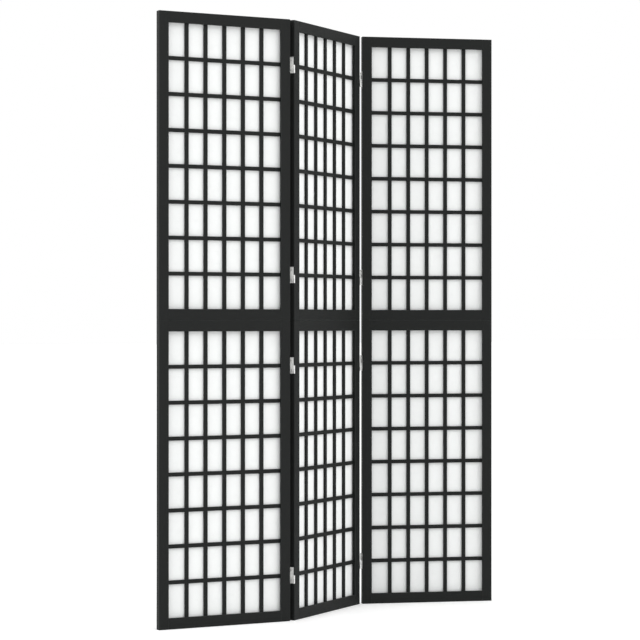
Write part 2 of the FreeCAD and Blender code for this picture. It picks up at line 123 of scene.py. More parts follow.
# the lamps: the side that each shines from and its height above the horizon, in degrees
LAMPS = {"key": (-54.0, 42.0), "fill": (180.0, 30.0), "back": (80.0, 35.0)}
LAMP_SPREAD = 60.0
FLOOR_REACH = 60  # from the screen to the floor's edges, in metres
SIGHT = 200  # how far the camera sees, in metres
SENSOR = 36  # the camera's picture width, in millimetres

COLOUR = {"subtype": "COLOR", "size": 3, "min": 0, "max": 1}
LENGTH = {"subtype": "DISTANCE", "unit": "LENGTH"}
SHARE = {"subtype": "FACTOR", "min": 0, "max": 1}


# sizes and colours


class WoodFinish(bpy.types.PropertyGroup):
    """The stained wood of the frames and lattices, and the bare wood inside them."""

    stain: FloatVectorProperty(
        name="Stain", description="Colour of the stain", default=(0.0066, 0.0076, 0.0071), **COLOUR
    )
    bare: FloatVectorProperty(
        name="Bare wood", description="Colour of bare wood", default=(0.52, 0.35, 0.20), **COLOUR
    )
    roughness: FloatProperty(
        name="Roughness", description="How matt the stained wood is", default=0.6, **SHARE
    )
    sheen: FloatProperty(
        name="Shine", description="How strongly the stained wood mirrors", default=0.2, **SHARE
    )
    grain_depth: FloatProperty(
        name="Grain depth", description="Depth of the open grain", default=0.00012, **LENGTH
    )
    arris: FloatProperty(
        name="Arris", description="Rounding of the frames' long edges", default=0.0004, **LENGTH
    )
    bar_arris: FloatProperty(
        name="Bar arris", description="Rounding of the bars' long edges", default=0.0005, **LENGTH
    )


class PaperFinish(bpy.types.PropertyGroup):
    """The sheets behind the lattices."""

    tint: FloatVectorProperty(
        name="Paper", description="Colour of the paper", default=(0.925, 0.94, 0.932), **COLOUR
    )
    # painted shade: the paper's colour where wood lies close behind it, for the light that the wood
    # keeps from shining through
    painted_shade: FloatVectorProperty(
        name="Paper in painted shade",
        description="Colour of the paper where dark wood is glued to its far side",
        default=(0.72, 0.73, 0.725),
        **COLOUR,
    )
    thickness: FloatProperty(
        name="Thickness", description="Thickness of the paper", default=0.0002, **LENGTH
    )
    clearance: FloatProperty(
        name="Glue line", description="Gap that the glue fills", default=0.00003, **LENGTH
    )
    slack: FloatProperty(
        name="Slack", description="How far the paper gives in mid-cell", default=0.00018, **LENGTH
    )
    steps: IntProperty(name="Steps", description="Faces across one cell", default=6, min=2, max=16)


class HingeFinish(bpy.types.PropertyGroup):
    """The plates, knuckles and pins of the double-action hinges."""

    metal: FloatVectorProperty(
        name="Plating", description="Colour of the plating", default=(0.86, 0.86, 0.85), **COLOUR
    )
    roughness: FloatProperty(
        name="Roughness", description="How matt the plating is", default=0.46, **SHARE
    )
    height: FloatProperty(name="Height", description="Height of a hinge", default=0.046, **LENGTH)
    thickness: FloatProperty(
        name="Plate thickness", description="Thickness of the plates", default=0.001, **LENGTH
    )
    set_back: FloatProperty(
        name="Set-back", description="How far a plate stays off the pins", default=0.0033, **LENGTH
    )
    corner: FloatProperty(
        name="Corner", description="Radius of the plates' corners", default=0.0008, **LENGTH
    )
    knuckle: FloatProperty(
        name="Knuckle radius", description="Radius of the knuckles", default=0.00197, **LENGTH
    )
    bore: FloatProperty(
        name="Bore radius", description="Radius of the knuckles' hole", default=0.001, **LENGTH
    )
    pin: FloatProperty(
        name="Pin radius", description="Radius of the pins", default=0.00095, **LENGTH
    )
    gap: FloatProperty(
        name="Knuckle gap", description="Play between two knuckles", default=0.0002, **LENGTH
    )


class ScrewSizes(bpy.types.PropertyGroup):
    """The countersunk screws of the hinges."""

    from_middle: FloatProperty(
        name="Spacing", description="From a hinge's middle to a screw", default=0.0136, **LENGTH
    )
    head: FloatProperty(
        name="Head radius", description="Radius of a screw's head", default=0.0024, **LENGTH
    )
    shank: FloatProperty(
        name="Shank radius", description="Radius of a screw's shank", default=0.0012, **LENGTH
    )
    length: FloatProperty(name="Length", description="Length of a screw", default=0.013, **LENGTH)
    recess: FloatProperty(
        name="Recess depth", description="Depth of the cross in a head", default=0.0009, **LENGTH
    )


class Studio(bpy.types.PropertyGroup):
    """The floor, the lamps and the camera."""

    floor: FloatVectorProperty(
        name="Floor", description="Colour of the floor", default=(0.93, 0.93, 0.93), **COLOUR
    )
    floor_glow: FloatProperty(
        name="Floor glow",
        description="Light added to the floor as seen",
        default=0.2,
        min=0,
        max=1,
    )
    daylight: FloatProperty(
        name="Daylight", description="Light from all round", default=0.61, min=0, max=4
    )
    key: FloatProperty(
        name="Key", description="Strength of the lamp at the right", default=1.27, min=0, max=10
    )
    fill: FloatProperty(
        name="Fill", description="Strength of the lamp at the left", default=1.2, min=0, max=10
    )
    back: FloatProperty(
        name="Back", description="Strength of the lamp behind", default=0.45, min=0, max=10
    )
    camera: FloatVectorProperty(
        name="Camera",
        description="Where the camera stands",
        subtype="TRANSLATION",
        unit="LENGTH",
        size=3,
        default=(-3.3676, -5.2134, 0.8506),
    )
    heading: FloatProperty(
        name="Heading",
        description="The camera's turn from looking along Y",
        subtype="ANGLE",
        unit="ROTATION",
        default=math.radians(-32.792),
    )
    lens: FloatProperty(
        name="Lens",
        description="The camera's focal length, in millimetres",
        subtype="DISTANCE_CAMERA",
        min=1,
        default=119.9,
    )


# materials


def socket_of(sockets, name):
    """A socket by its identifier, or else by its name."""
    for socket in sockets:
        if socket.identifier == name:
            return socket
    return sockets[name]


class Field:
    """A number that changes over a surface. Python's operators on it add Math nodes."""

    def __init__(self, layout, socket):
        self.layout = layout
        self.socket = socket

    def maths(self, operation, other=0.0, swapped=False):
        first, second = (other, self) if swapped else (self, other)
        values = {"Value": first, "Value_001": second}
        node = self.layout.node("ShaderNodeMath", {"operation": operation}, values)
        return Field(self.layout, node.outputs["Value"])

    def __add__(self, other):
        return self.maths("ADD", other)

    __radd__ = __add__

    def __mul__(self, other):
        return self.maths("MULTIPLY", other)

    __rmul__ = __mul__

    def __sub__(self, other):
        return self.maths("SUBTRACT", other)

    def __rsub__(self, other):
        return self.maths("SUBTRACT", other, swapped=True)

    def sine(self):
        return self.maths("SINE")

    def clamped(self):
        return self.maths("MAXIMUM", 0.0).maths("MINIMUM", 1.0)

    def or_else(self, other):
        return self.maths("MAXIMUM", other)


class Layout:
    """The nodes of a material, of the world or of a shape, while they are laid out."""

    def __init__(self, tree):
        self.tree = tree
        self.tree.nodes.clear()

    def node(self, kind, settings=None, values=None):
        """Adds a node of a kind: its settings first, then the values or links of its sockets."""
        node = self.tree.nodes.new(kind)
        for name, value in (settings or {}).items():
            if name == "stops":
                self.set_stops(node.color_ramp.elements, value)
            else:
                setattr(node, name, value)
        for name, value in (values or {}).items():
            target = socket_of(node.inputs, name)
            source = value.socket if isinstance(value, Field) else value
            if isinstance(source, bpy.types.NodeSocket):
                self.tree.links.new(source, target)
            else:
                target.default_value = source
        return node

    @staticmethod
    def set_stops(elements, stops):
        while len(elements) < len(stops):
            elements.new(1.0)
        for element, (position, grey) in zip(elements, stops):
            element.position = position
            element.color = (grey, grey, grey, 1)

    def seen(self):
        """1 for what the camera sees, straight, mirrored or through glass, and 0 otherwise."""
        path = self.node("ShaderNodeLightPath").outputs
        straight = Field(self, path["Is Camera Ray"])
        return straight.or_else(path["Is Glossy Ray"]).or_else(path["Is Transmission Ray"])


class Finish(Layout):
    """A material while its nodes are laid out."""

    def __init__(self, name):
        self.material = bpy.data.materials.new(name)
        self.material.use_nodes = True
        super().__init__(self.material.node_tree)

    def own(self, attribute):
        """The piece's own attribute: its Vector, or its Fac for a number."""
        return self.node("ShaderNodeAttribute", {"attribute_name": attribute}).outputs

    def place(self):
        return self.node("ShaderNodeTexCoord").outputs["Object"]

    def turned(self, vector, degrees):
        """A vector turned about X, Y and Z."""
        values = {"Vector": vector, "Rotation": [math.radians(turn) for turn in degrees]}
        return self.node("ShaderNodeMapping", {}, values).outputs["Vector"]

    def noise(self, vector, steps, detail=2.0, roughness=0.5):
        """A cloudy pattern with so many steps to the metre along X, Y and Z."""
        mapping = self.node("ShaderNodeMapping", {}, {"Vector": vector, "Scale": steps})
        values = {"Scale": 1.0, "Detail": detail, "Roughness": roughness}
        values["Vector"] = mapping.outputs["Vector"]
        return Field(self, self.node("ShaderNodeTexNoise", {}, values).outputs["Fac"])

    def ramp(self, field, stops):
        node = self.node("ShaderNodeValToRGB", {"stops": stops}, {"Fac": field})
        return Field(self, node.outputs["Color"])

    def part(self, vector, name):
        node = self.node("ShaderNodeSeparateXYZ", {}, {"Vector": vector})
        return Field(self, node.outputs[name])

    def vector_maths(self, operation, values):
        node = self.node("ShaderNodeVectorMath", {"operation": operation}, values)
        return node.outputs["Vector"]

    def blend(self, factor, one, other):
        """One colour turning into another as the factor goes from 0 to 1."""
        values = {"Factor_Float": factor, "A_Color": one, "B_Color": other}
        node = self.node("ShaderNodeMix", {"data_type": "RGBA"}, values)
        return socket_of(node.outputs, "Result_Color")

    def bump(self, height, distance):
        values = {"Height": height, "Distance": distance}
        return self.node("ShaderNodeBump", {}, values).outputs["Normal"]

    def surface(self, values):
        """The one shader that the material ends in."""
        shader = self.node("ShaderNodeBsdfPrincipled", {}, values)
        self.node("ShaderNodeOutputMaterial", {}, {"Surface": shader.outputs["BSDF"]})
        return self.material


def opaque(colour, level=1.0):
    return tuple(channel * level for channel in colour) + (1.0,)


def wood_material(name, colour, contrast, roughness, sheen, depth, grain=None):
    """Straight-grained softwood. The grain lies along the first axis of its coordinates, which are
    the piece's own where it has them and the object's otherwise."""
    finish = Finish(name)
    place = finish.own(grain)["Vector"] if grain else finish.turned(finish.place(), (0, 90, 0))
    fibres = finish.noise(place, FIBRES, detail=3.0, roughness=0.6)
    fleck = finish.noise(place, FLECKS, detail=1.0)
    drift = finish.noise(place, DRIFT)
    across = finish.part(place, "Y") + finish.part(place, "Z") * 0.6
    rings = (across * RINGS + drift * RINGS_WANDER).sine() * 0.5 + 0.5
    tone = (rings * 0.34 + fibres * 0.52 + drift * 0.3 - 0.08).clamped()
    pores = finish.ramp(fleck, ((0.0, 1.0), (0.36, 1.0), (0.46, 0.0), (1.0, 0.0)))
    base = finish.blend(tone, opaque(colour, 1.0 - contrast), opaque(colour, 1.0 + contrast))
    dull = fibres * 0.16 + rings * 0.05 + pores * 0.1 + (roughness - 0.1)
    if grain:
        # a painted highlight along the eased edges: the stain is lighter there, and a little
        # smoother
        edge_light = (Field(finish, finish.own("worn")["Fac"]) * (drift * 1.6 - 0.1)).clamped()
        base = finish.blend(edge_light, base, opaque(colour, EDGE_HIGHLIGHT))
        dull = dull - edge_light * 0.15
    values = {
        "Base Color": base,
        "Roughness": dull.clamped(),
        "Specular IOR Level": sheen,
        "Normal": finish.bump(fibres * 0.7 + rings * 0.3 - pores * 0.5, depth),
    }
    return finish.surface(values)


def paper_material(settings):
    """Handmade white paper: long fibres in all directions, and painted shade where wood lies behind
    it, for the light that the wood keeps from shining through.
    """
    finish = Finish("washi_paper")
    place = finish.own("sheet")["Vector"]
    # how much painted shade the wood behind puts on the paper
    behind = Field(finish, finish.own("on_wood")["Fac"])
    cloud = finish.noise(place, CLOUDS, detail=4.0, roughness=0.62)
    tooth = finish.noise(place, TOOTH)
    curl = finish.node("ShaderNodeTexNoise", {}, {"Vector": place, "Scale": CURLS, "Detail": 1.0})
    aside = finish.vector_maths("SCALE", {"Vector": curl.outputs["Color"], "Scale": CURL_REACH})
    curled = finish.vector_maths("ADD", {"Vector": place, "Vector_001": aside})

    def strand(turn, along, across):
        laid = finish.turned(curled, (0, 0, turn))
        lines = finish.noise(laid, (along, across, along), detail=1.0)
        return finish.ramp(lines, ((0.0, 0.0), (0.60, 0.0), (0.66, 1.0), (0.70, 0.0)))

    first, second, third = (strand(*lay) for lay in STRANDS)
    strands = (first + second + third).clamped()
    thin = (cloud - 0.5) * 0.5
    # the painted shade from the wood behind, with the paper's own thinner and fibrous places
    shade = (behind + thin - strands * 0.12 + 0.02).clamped()
    values = {
        "Base Color": finish.blend(shade, opaque(settings.tint), opaque(settings.painted_shade)),
        "Roughness": (strands * -0.12 + 0.92).clamped(),
        "Specular IOR Level": 0.22,
        "Sheen Weight": 0.06,
        "Normal": finish.bump(strands * 0.5 + tooth * 0.25 + cloud * 0.6, 0.00008),
    }
    return finish.surface(values)


def plated_material(name, colour, roughness, rubbed):
    """Nickel-plated steel with a fine vertical brushing and dull handling marks."""
    finish = Finish(name)
    place = finish.place()
    brushing = finish.noise(place, BRUSHING)
    marks = finish.noise(place, MARKS, detail=4.0, roughness=0.6)
    dull = finish.ramp(marks, ((0.0, 0.0), (0.48, 0.0), (0.62, 1.0), (1.0, 1.0)))
    tone = (dull * rubbed + brushing * 0.25).clamped()
    values = {
        "Base Color": finish.blend(tone, opaque(colour), opaque(colour, 0.78)),
        "Metallic": 1.0,
        "Roughness": (brushing * 0.16 + dull * 0.12 + (roughness - 0.12)).clamped(),
        "Normal": finish.bump(brushing * 0.5 + marks * 0.2, 0.00002),
    }
    return finish.surface(values)


# shapes


def stand_at(place, turn):
    """A frame on the floor, turned about the vertical."""
    return Matrix.Translation((*place, 0)) @ Matrix.Rotation(math.radians(turn), 4, "Z")


def each_half():
    """For each half of each panel: the panel's name and frame, and how its nodes' names begin."""
    for panel, stand in PANELS.items():
        for half in HALVES:
            yield panel, stand_at(*stand), f"{panel}_{half}"


def merged_copy(node, matrix):
    """A CAD node's loose triangles joined into flat faces, in the frame that the matrix places."""
    shape = bmesh.new()
    shape.from_mesh(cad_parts[node].data)
    bmesh.ops.remove_doubles(shape, verts=shape.verts, dist=WELD)
    bmesh.ops.dissolve_limit(shape, angle_limit=FLAT, verts=shape.verts, edges=shape.edges)
    shape.transform(matrix.inverted())
    return shape


def separate_bars(shape):
    """The points of each separate solid, as lists."""
    waiting = set(shape.verts)
    bars = []
    while waiting:
        found = [waiting.pop()]
        for point in found:
            for edge in point.link_edges:
                other = edge.other_vert(point)
                if other in waiting:
                    waiting.remove(other)
                    found.append(other)
        bars.append(found)
    return bars


def span_of(points, axis):
    values = [point.co[axis] for point in points]
    return min(values), max(values)


def middle_of(bar, axis):
    return sum(span_of(bar, axis)) / 2


def round_long_edges(shape, width):
    """Rounds the long outer edges, as a plane and fine paper leave them."""
    edges = [
        edge
        for edge in shape.edges
        if len(edge.link_faces) == 2
        and edge.calc_length() > LONG_EDGE
        and edge.calc_face_angle_signed() > SHARP
    ]
    # the eased faces are marked for a painted highlight in the wood's material
    worn = shape.faces.layers.float.new("worn")
    eased = bmesh.ops.bevel(
        shape, geom=edges, offset=width, segments=2, profile=0.5, affect="EDGES"
    )
    for face in eased["faces"]:
        face[worn] = 1.0


def to_mesh(shape, name):
    mesh = bpy.data.meshes.new(name)
    shape.to_mesh(mesh)
    shape.free()
    return mesh


def mark_grain(mesh, along, seed):
    """Gives each separate bar its own stretch of grain. along is the axis that the bars follow."""
    shape = bmesh.new()
    shape.from_mesh(mesh)
    order = (2, 0, 1) if along == 2 else (0, 2, 1)
    draw = random.Random(seed)
    values = [0.0] * (3 * len(shape.verts))
    bars = separate_bars(shape)
    bars.sort(key=lambda bar: (middle_of(bar, 0), middle_of(bar, 2)))
    for bar in bars:
        shift = [draw.uniform(-GRAIN_APART, GRAIN_APART) for _ in order]
        for point in bar:
            for index, axis in enumerate(order):
                values[3 * point.index + index] = point.co[axis] + shift[index]
    shape.free()
    attribute = mesh.attributes.new("grain", "FLOAT_VECTOR", "POINT")
    attribute.data.foreach_set("vector", values)


def in_scene(name, data):
    """A new object that stands in the scene."""
    piece = bpy.data.objects.new(name, data)
    bpy.context.scene.collection.objects.link(piece)
    return piece


def finished_piece(name, mesh, matrix, material):
    """An object at the origin with its place in its mesh."""
    mesh.transform(matrix)
    mesh.materials.clear()
    mesh.materials.append(material)
    mesh.update()
    return in_scene(name, mesh)


def plain_mesh(piece):
    """The mesh that a piece's modifiers make of it. The piece itself is removed."""
    bpy.context.view_layer.update()
    graph = bpy.context.evaluated_depsgraph_get()
    mesh = bpy.data.meshes.new_from_object(piece.evaluated_get(graph), depsgraph=graph)
    piece.modifiers.clear()
    bpy.data.objects.remove(piece)
    return mesh


def repeat_tree():
    """A node tree that repeats its geometry along one line, and that row along another."""
    name = "repeat in two directions"
    if name in bpy.data.node_groups:
        return bpy.data.node_groups[name]
    tree = bpy.data.node_groups.new(name, "GeometryNodeTree")
    inputs = {"Piece": "Geometry", "Count": "Int", "Step": "Vector"}
    inputs |= {"Rows": "Int", "Row step": "Vector", "Material": "Material"}
    for label, kind in inputs.items():
        tree.interface.new_socket(name=label, in_out="INPUT", socket_type=f"NodeSocket{kind}")
    tree.interface.new_socket(name="Pieces", in_out="OUTPUT", socket_type="NodeSocketGeometry")
    layout = Layout(tree)
    given = layout.node("NodeGroupInput").outputs

    def repeat_along(count, step, shape):
        values = {"Count": given[count], "Offset": given[step]}
        points = layout.node("GeometryNodeMeshLine", {"mode": "OFFSET"}, values).outputs["Mesh"]
        values = {"Points": points, "Instance": shape}
        return layout.node("GeometryNodeInstanceOnPoints", {}, values).outputs["Instances"]

    row = repeat_along("Count", "Step", given["Piece"])
    rows = repeat_along("Rows", "Row step", row)
    solid = layout.node("GeometryNodeRealizeInstances", {}, {"Geometry": rows})
    values = {"Geometry": solid.outputs["Geometry"], "Material": given["Material"]}
    paint = layout.node("GeometryNodeSetMaterial", {}, values)
    layout.node("NodeGroupOutput", {}, {"Pieces": paint.outputs["Geometry"]})
    return tree


def repeated(mesh, material, count, step, rows=1, row_step=(0, 0, 0)):
    """A mesh with a shape repeated in one or two directions."""
    piece = in_scene("repeated", mesh)
    modifier = piece.modifiers.new("repeat", "NODES")
    modifier.node_group = repeat_tree()
    wanted = {"Count": count, "Step": step, "Rows": rows, "Row step": row_step}
    wanted["Material"] = material
    for item in modifier.node_group.interface.items_tree:
        if item.in_out == "INPUT" and item.name in wanted:
            modifier[item.identifier] = wanted[item.name]
    return plain_mesh(piece)


def hung_up_the_fold(mesh, material):
    """One hinge's piece repeated for the four hinges of a fold. It is drawn from the foot of its
    own hinge, and stands first at the foot of the panel."""
    first = HINGE_FROM_END - bpy.context.scene.hinge_finish.height / 2
    mesh.transform(Matrix.Translation((0, 0, first)))
    pitch = HALF_HEIGHT - 2 * HINGE_FROM_END
    return repeated(mesh, material, 2, (0, 0, HALF_HEIGHT), 2, (0, 0, pitch))


def lathe(profile, centre, sides, closed=False, smooth=False):
    """A profile of (radius, height) pairs turned round an upright line. A closed one is a ring."""
    shape = bmesh.new()
    rings = []
    for radius, height in profile:
        if radius == 0:
            rings.append([shape.verts.new((*centre, height))])
        else:
            ring = ring_points(centre, radius, sides)
            rings.append([shape.verts.new((*point, height)) for point in ring])
    pairs = zip(rings, rings[1:] + rings[:1]) if closed else zip(rings, rings[1:])
    for one, other in pairs:
        for index in range(sides):
            after = (index + 1) % sides
            corners = [one[index % len(one)], one[after % len(one)]]
            corners += [other[after % len(other)], other[index % len(other)]]
            shape.faces.new(list(dict.fromkeys(corners)))
    bmesh.ops.recalc_face_normals(shape, faces=shape.faces)
    for face in shape.faces:
        face.smooth = smooth
    return shape


def rounded(corners, radius):
    """The corners of a flat outline, each eased by a short curve of five points."""
    points = []
    for index, corner in enumerate(corners):
        here = Vector(corner)
        before = Vector(corners[index - 1]) - here
        after = Vector(corners[(index + 1) % len(corners)]) - here
        reach = min(radius, before.length / 2, after.length / 2)
        start = here + before.normalized() * reach
        end = here + after.normalized() * reach
        for share in (0.0, 0.25, 0.5, 0.75, 1.0):
            points.append(start.lerp(here, share).lerp(here.lerp(end, share), share))
    return points


def ring_points(centre, radius, sides=20):
    turns = [2 * math.pi * index / sides for index in range(sides)]
    across, up = centre
    return [(across + radius * math.cos(turn), up + radius * math.sin(turn)) for turn in turns]


def flat_plate(outlines, thickness, edge):
    """A plate from flat outlines, the first round the others, its middle plane at X = 0. The
    outlines are pairs of depth and height, and its edges are eased."""
    curve = bpy.data.curves.new("outline", "CURVE")
    curve.dimensions = "2D"
    curve.fill_mode = "BOTH"
    curve.extrude = thickness / 2 - edge
    curve.bevel_depth = edge
    curve.bevel_resolution = 1
    curve.offset = -edge
    for points in outlines:
        spline = curve.splines.new("POLY")
        spline.points.add(len(points) - 1)
        for target, point in zip(spline.points, points):
            target.co = (*point, 0, 1)
        spline.use_cyclic_u = True
    mesh = plain_mesh(in_scene("outline", curve))
    bpy.data.curves.remove(curve)
    upright = Matrix(((0, 0, 1, 0), (1, 0, 0, 0), (0, 1, 0, 0), (0, 0, 0, 1)))
    mesh.transform(upright)
    shape = bmesh.new()
    shape.from_mesh(mesh)
    bpy.data.meshes.remove(mesh)
    bmesh.ops.remove_doubles(shape, verts=shape.verts, dist=WELD)
    bmesh.ops.recalc_face_normals(shape, faces=shape.faces)
    return shape


def joined(shapes, name):
    """Several shapes as one mesh."""
    whole = bmesh.new()
    for shape in shapes:
        mesh = to_mesh(shape, "part")
        whole.from_mesh(mesh)
        bpy.data.meshes.remove(mesh)
    return to_mesh(whole, name)


# wood


def stained_wood(settings, name, shade=1.0):
    """The stained wood's material, in its full colour or a share of it."""
    stain = tuple(channel * shade for channel in settings.stain)
    look = {"roughness": settings.roughness, "sheen": settings.sheen, "contrast": 0.28}
    return wood_material(name, stain, depth=settings.grain_depth, grain="grain", **look)


class SCREEN_OT_frames(bpy.types.Operator):
    """Round the edges of the stiles and rails and stain them"""

    bl_idname = "screen.frames"
    bl_label = "Frames"

    def execute(self, context):
        settings = context.scene.wood_finish
        material = stained_wood(settings, "stained_frame_wood")
        for panel, matrix, half in each_half():
            for member in ("left_stile", "right_stile", "bottom_rail", "top_rail"):
                node = f"{half}_{member}"
                shape = merged_copy(node, matrix)
                round_long_edges(shape, settings.arris)
                mesh = to_mesh(shape, node)
                mark_grain(mesh, 2 if member.endswith("stile") else 0, node)
                piece = finished_piece(f"{node}_finished", mesh, matrix, material)
                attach(piece, f"{panel}_panel")
                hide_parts(node)
        return {"FINISHED"}


class SCREEN_OT_lattices(bpy.types.Operator):
    """Lay out the lapped bars of the six lattices"""

    bl_idname = "screen.lattices"
    bl_label = "Lattices"

    def execute(self, context):
        settings = context.scene.wood_finish
        material = stained_wood(settings, "stained_lattice_wood", BAR_SHADE)
        for panel, matrix, half in each_half():
            for member, spread, along in (("uprights", 0, 2), ("crossbars", 2, 0)):
                node = f"{half}_lattice_{member}"
                shape = merged_copy(node, matrix)
                bars = sorted(separate_bars(shape), key=lambda bar: middle_of(bar, spread))
                first, last = middle_of(bars[0], spread), middle_of(bars[-1], spread)
                count = len(bars)
                step = [0.0, 0.0, 0.0]
                step[spread] = (last - first) / (count - 1)
                others = [point for bar in bars[1:] for point in bar]
                bmesh.ops.delete(shape, geom=others, context="VERTS")
                round_long_edges(shape, settings.bar_arris)
                mesh = repeated(to_mesh(shape, node), material, count, step)
                mark_grain(mesh, along, node)
                piece = finished_piece(f"{node}_finished", mesh, matrix, material)
                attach(piece, f"{panel}_panel")
                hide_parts(node)
        return {"FINISHED"}


class SCREEN_OT_tongues(bpy.types.Operator):
    """Give the loose tongues inside the stiles their bare wood"""

    bl_idname = "screen.tongues"
    bl_label = "Tongues"

    def execute(self, context):
        settings = context.scene.wood_finish
        look = {"contrast": 0.16, "roughness": 0.62, "sheen": 0.35, "depth": settings.grain_depth}
        material = wood_material("bare_wood", settings.bare, **look)
        for panel in PANELS:
            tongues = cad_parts[f"{panel}_seam_tongues"]
            for slot in tongues.material_slots:
                slot.material = material
        return {"FINISHED"}


# paper


def bar_edges(node, matrix, axis):
    """The low and high edge of each bar of a lattice node along an axis of its panel, in order."""
    shape = merged_copy(node, matrix)
    edges = sorted(span_of(bar, axis) for bar in separate_bars(shape))
    shape.free()
    return edges


def grid_lines(low, high, ledge, lip, bars, steps):
    """Lines across a sheet, as pairs of a place and its share of the way through its cell, and for
    each strip between two lines its painted shade from the wood behind and which cell it lies in.
    The sheet is glued down as far in as the ledge, and the lip before it ends further in."""
    lines = [(low, 0.0), (low + ledge, 0.0), (low + lip, 0.0)]
    # painted shade for each strip: full where wood touches the paper, less over the rebate, none in
    # a cell
    strips = [(1.0, -1), (LIP_SHADE, -1)]
    start = low + lip
    for cell, (near, far) in enumerate([*bars, (high - lip, None)]):
        for step in range(1, steps + 1):
            share = step / steps
            lines.append((start + (near - start) * share, share if share < 1 else 0.0))
            strips.append((0.0, cell))
        if far is not None:
            lines.append((far, 0.0))
            strips.append((1.0, cell))
            start = far
    lines += [(high - ledge, 0.0), (high, 0.0)]
    strips += [(LIP_SHADE, -1), (1.0, -1)]
    return lines, strips


def paper_shape(corner, far, uprights, crossbars, settings, seed):
    """A sheet that touches the bars and stands back a little in each cell. corner and far are its
    lowest and highest corners, and the bars are pairs of edges in order."""
    lip = STILE_WIDTH - corner.x
    edge = (lip - REBATE, lip)
    steps = settings.steps
    columns, column_strips = grid_lines(corner.x, far.x, *edge, uprights, steps)
    rows, row_strips = grid_lines(corner.z, far.z, *edge, crossbars, steps + MORE_ROWS)
    front = corner.y + settings.clearance
    draw = random.Random(seed)
    loose = {}
    shape = bmesh.new()
    sides = []
    for lift in (0.0, settings.thickness):
        points = []
        for line, (height, up_share) in enumerate(rows):
            row_cell = row_strips[max(line - 1, 0)][1]
            row = []
            for column, (across, across_share) in enumerate(columns):
                cell = (row_cell, column_strips[max(column - 1, 0)][1])
                # drawn anew for each point, and a cell keeps its first draw
                amount = loose.setdefault(cell, draw.uniform(LEAST_SLACK, 1.0))
                bulge = math.sin(math.pi * up_share) * math.sin(math.pi * across_share)
                depth = front + lift + settings.slack * amount * max(bulge, 0.0) ** FULLNESS
                row.append(shape.verts.new((across, depth, height)))
            points.append(row)
        sides.append(points)
    top, end = len(rows) - 1, len(columns) - 1
    # the painted shade that each face gets from the wood behind, on both sides of the sheet
    over = shape.faces.layers.float.new("on_wood")
    for points, order in zip(sides, (1, -1)):
        for line in range(top):
            for column in range(end):
                low, high = points[line], points[line + 1]
                corners = [low[column], low[column + 1], high[column + 1], high[column]]
                face = shape.faces.new(corners[::order])
                face[over] = max(row_strips[line][0], column_strips[column][0])
                face.smooth = True
    rim = [(0, column) for column in range(end)]
    rim += [(line, end) for line in range(top)]
    rim += [(top, column) for column in range(end, 0, -1)]
    rim += [(line, 0) for line in range(top, 0, -1)]
    near, back = ([points[line][column] for line, column in rim] for points in sides)
    for index in range(len(rim)):
        after = (index + 1) % len(rim)
        shape.faces.new([near[after], near[index], back[index], back[after]])
    return shape


class SCREEN_OT_paper(bpy.types.Operator):
    """Stretch a sheet of paper over the back of each lattice"""

    bl_idname = "screen.paper"
    bl_label = "Paper"

    def execute(self, context):
        settings = context.scene.paper_finish
        material = paper_material(settings)
        for panel, matrix, half in each_half():
            node = f"{half}_paper"
            uprights, crossbars = f"{half}_lattice_uprights", f"{half}_lattice_crossbars"
            solid = merged_copy(node, matrix)
            spans = [span_of(solid.verts, axis) for axis in range(3)]
            corner, far = (Vector(ends) for ends in zip(*spans))
            solid.free()
            columns, rows = bar_edges(uprights, matrix, 0), bar_edges(crossbars, matrix, 2)
            shape = paper_shape(corner, far, columns, rows, settings, node)
            mesh = to_mesh(shape, node)
            sheet = mesh.attributes.new("sheet", "FLOAT_VECTOR", "POINT")
            for target, point in zip(sheet.data, mesh.vertices):
                target.vector = (point.co.x, point.co.z, 0.0)
            piece = finished_piece(f"{node}_sheet", mesh, matrix, material)
            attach(piece, f"{panel}_panel")
            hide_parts(node)
        return {"FINISHED"}


# hinges

# A hinge has its own frame, in metres: Z up from its foot along the front pin, Y towards the back
# pin, X along the panels. From the foot up its four knuckles belong to leaf, link, link and leaf.


def knuckle(settings, depth, foot, top):
    """A rolled knuckle round a pin."""
    outer, inner, ease = settings.knuckle, settings.bore, settings.thickness * PLATE_EASE
    profile = [(inner, foot), (outer - ease, foot), (outer, foot + ease)]
    profile += [(outer, top - ease), (outer - ease, top), (inner, top)]
    return lathe(profile, (0, depth), sides=28, closed=True)


def screw_heights(context):
    middle = context.scene.hinge_finish.height / 2
    reach = context.scene.screw_sizes.from_middle
    return middle - reach, middle + reach


def hinge_plate(context, corners, radius, play):
    """A flat plate of a hinge, with some play round each of its two screws' heads."""
    hole = context.scene.screw_sizes.head + play
    holes = [ring_points((PIN_SPACING / 2, height), hole) for height in screw_heights(context)]
    thickness = context.scene.hinge_finish.thickness
    return flat_plate([rounded(corners, radius), *holes], thickness, thickness * PLATE_EASE)


def leaf_mesh(context, side, on_front_pin):
    """The leaf on a panel's edge. side is 1 where the panel lies towards +X from the pins."""
    settings = context.scene.hinge_finish
    quarter, top = settings.height / 4, settings.height
    front, back = settings.set_back, PIN_SPACING - settings.set_back
    if on_front_pin:
        depth, foot, head = 0.0, 0.0, quarter - settings.gap
        corners = [(0, 0), (back, 0), (back, top), (front, top), (front, head), (0, head)]
    else:
        depth, foot, head = PIN_SPACING, 3 * quarter + settings.gap, top
        corners = [(front, 0), (back, 0), (back, foot)]
        corners += [(PIN_SPACING, foot), (PIN_SPACING, top), (front, top)]
    plate = hinge_plate(context, corners, settings.corner, SEAT_PLAY)
    aside = side * (PIN_TO_WOOD - settings.thickness / 2)
    bmesh.ops.translate(plate, verts=plate.verts, vec=(aside, 0, 0))
    return joined([plate, knuckle(settings, depth, foot, head)], "leaf")


